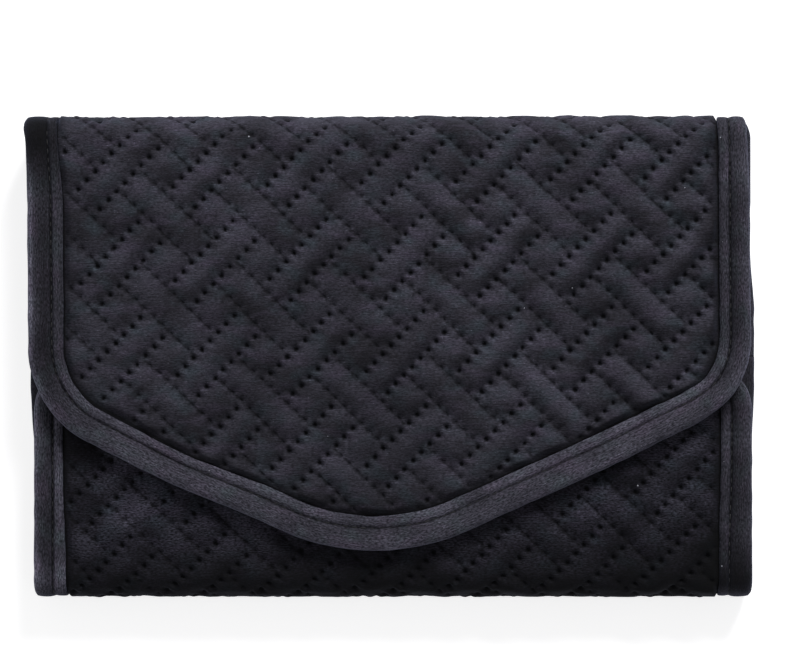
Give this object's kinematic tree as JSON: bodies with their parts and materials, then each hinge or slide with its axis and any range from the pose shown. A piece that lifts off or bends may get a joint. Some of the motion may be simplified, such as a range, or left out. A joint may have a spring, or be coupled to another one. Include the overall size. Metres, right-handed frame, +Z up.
{
  "type": "jewelry clutch",
  "caption": "Soft folding jewelry clutch with a quilted outside, pointed flap, hidden snap, zip pockets, a ring bar and necklace straps.",
  "frame": {"origin": "centre of the clutch's footprint, on the surface that its back lies on", "axes": "+X across the clutch to the right as pictured, +Y from the bottom fold to the top fold, +Z up through the layers, out of the flap"},
  "size_m": [0.2396, 0.1596, 0.0259],
  "materials": {
    "velvet": "black velvet with a cool sheen, quilted in a basket weave by welded dots",
    "binding": "black velvet strip, folded over the edge and stitched",
    "wadding": "white polyester wadding, hidden",
    "lining": "brushed grey suede cloth",
    "pocket_cloth": "brushed grey suede cloth, hemmed",
    "felt": "stiff grey felt",
    "zip_tape": "woven polyester tape",
    "zip_coil": "nylon coil",
    "hardware": "polished nickel plate",
    "snap_steel": "nickelled steel"
  },
  "bodies": {
    "back": {"back_quilt": "velvet", "back_wadding": "wadding", "back_lining": "lining", "back_binding_left": "binding", "back_binding_right": "binding", "back_pocket": "pocket_cloth", "back_zip_tape_upper": "zip_tape", "back_zip_tape_lower": "zip_tape", "back_zip_coil": "zip_coil", "back_zip_stop_start": "hardware", "back_zip_stop_end": "hardware", "ring_bar_anchor": "pocket_cloth", "ring_bar_stud": "hardware", "necklace_band": "pocket_cloth", "necklace_strap_left_stud": "hardware", "necklace_strap_middle_stud": "hardware", "necklace_strap_right_stud": "hardware"},
    "top_fold": {"top_fold_quilt": "velvet", "top_fold_lining": "lining", "top_fold_binding_left": "binding", "top_fold_binding_right": "binding"},
    "flap": {"flap_quilt": "velvet", "flap_wadding": "wadding", "flap_lining": "lining", "flap_binding": "binding", "flap_snap": "snap_steel", "flap_snap_backing": "snap_steel", "earring_panel": "felt"},
    "bottom_fold": {"bottom_fold_quilt": "velvet", "bottom_fold_lining": "lining", "bottom_fold_binding_left": "binding", "bottom_fold_binding_right": "binding"},
    "front": {"front_quilt": "velvet", "front_wadding": "wadding", "front_lining": "lining", "front_binding": "binding", "front_snap": "snap_steel", "front_snap_backing": "snap_steel", "front_pocket": "pocket_cloth", "front_zip_tape_upper": "zip_tape", "front_zip_tape_lower": "zip_tape", "front_zip_coil": "zip_coil", "front_zip_stop_start": "hardware", "front_zip_stop_end": "hardware"},
    "ring_bar": {"ring_bar": "pocket_cloth", "ring_bar_cap": "hardware"},
    "left_strap": {"necklace_strap_left": "pocket_cloth", "necklace_strap_left_cap": "hardware"},
    "middle_strap": {"necklace_strap_middle": "pocket_cloth", "necklace_strap_middle_cap": "hardware"},
    "right_strap": {"necklace_strap_right": "pocket_cloth", "necklace_strap_right_cap": "hardware"},
    "back_slider": {"back_zip_slider": "hardware"},
    "back_pull": {"back_zip_pull": "hardware"},
    "front_slider": {"front_zip_slider": "hardware"},
    "front_pull": {"front_zip_pull": "hardware"}
  },
  "joints": [
    {"name": "top_fold_open", "type": "hinge", "parent": "back", "child": "top_fold", "pos_m": [0, 0.0782, 0.0016], "axis": [-1, 0, 0], "range_deg": [0, 90]},
    {"name": "flap_open", "type": "hinge", "parent": "top_fold", "child": "flap", "pos_m": [0, 0.0782, 0.0243], "axis": [-1, 0, 0], "range_deg": [0, 90]},
    {"name": "bottom_fold_open", "type": "hinge", "parent": "back", "child": "bottom_fold", "pos_m": [0, -0.0782, 0.0016], "axis": [1, 0, 0], "range_deg": [0, 90]},
    {"name": "front_open", "type": "hinge", "parent": "bottom_fold", "child": "front", "pos_m": [0, -0.0782, 0.0178], "axis": [1, 0, 0], "range_deg": [0, 90]},
    {"name": "ring_bar_lift", "type": "hinge", "parent": "back", "child": "ring_bar", "pos_m": [-0.0761, 0.0143, 0.0054], "axis": [0, -1, 0], "range_deg": [0, 60]},
    {"name": "left_strap_lift", "type": "hinge", "parent": "back", "child": "left_strap", "pos_m": [-0.0687, 0.06765, 0.0077], "axis": [-1, 0, 0], "range_deg": [0, 135]},
    {"name": "middle_strap_lift", "type": "hinge", "parent": "back", "child": "middle_strap", "pos_m": [0.0013, 0.06765, 0.0077], "axis": [-1, 0, 0], "range_deg": [0, 135]},
    {"name": "right_strap_lift", "type": "hinge", "parent": "back", "child": "right_strap", "pos_m": [0.0713, 0.06765, 0.0077], "axis": [-1, 0, 0], "range_deg": [0, 135]},
    {"name": "back_zip_run", "type": "slide", "parent": "back", "child": "back_slider", "axis": [-1, 0, 0], "range_m": [0, 0.17]},
    {"name": "back_pull_flip", "type": "hinge", "parent": "back_slider", "child": "back_pull", "pos_m": [0.0903, -0.0382, 0.0093], "axis": [0, 1, 0], "range_deg": [0, 180]},
    {"name": "front_zip_run", "type": "slide", "parent": "front", "child": "front_slider", "axis": [1, 0, 0], "range_m": [0, 0.17]},
    {"name": "front_pull_flip", "type": "hinge", "parent": "front_slider", "child": "front_pull", "pos_m": [-0.0877, -0.0253, 0.0101], "axis": [0, 1, 0], "range_deg": [0, 180]}
  ],
  "couplings": [
    {"joint": "flap_open", "follows": "top_fold_open", "ratio": 1},
    {"joint": "bottom_fold_open", "follows": "top_fold_open", "ratio": 1},
    {"joint": "front_open", "follows": "top_fold_open", "ratio": 1},
    {"joint": "ring_bar_lift", "follows": "top_fold_open", "ratio": 0.6666},
    {"joint": "left_strap_lift", "follows": "top_fold_open", "ratio": 1.5},
    {"joint": "middle_strap_lift", "follows": "top_fold_open", "ratio": 1.5},
    {"joint": "right_strap_lift", "follows": "top_fold_open", "ratio": 1.5},
    {"joint": "back_pull_flip", "follows": "top_fold_open", "ratio": 2},
    {"joint": "front_pull_flip", "follows": "top_fold_open", "ratio": 2}
  ]
}
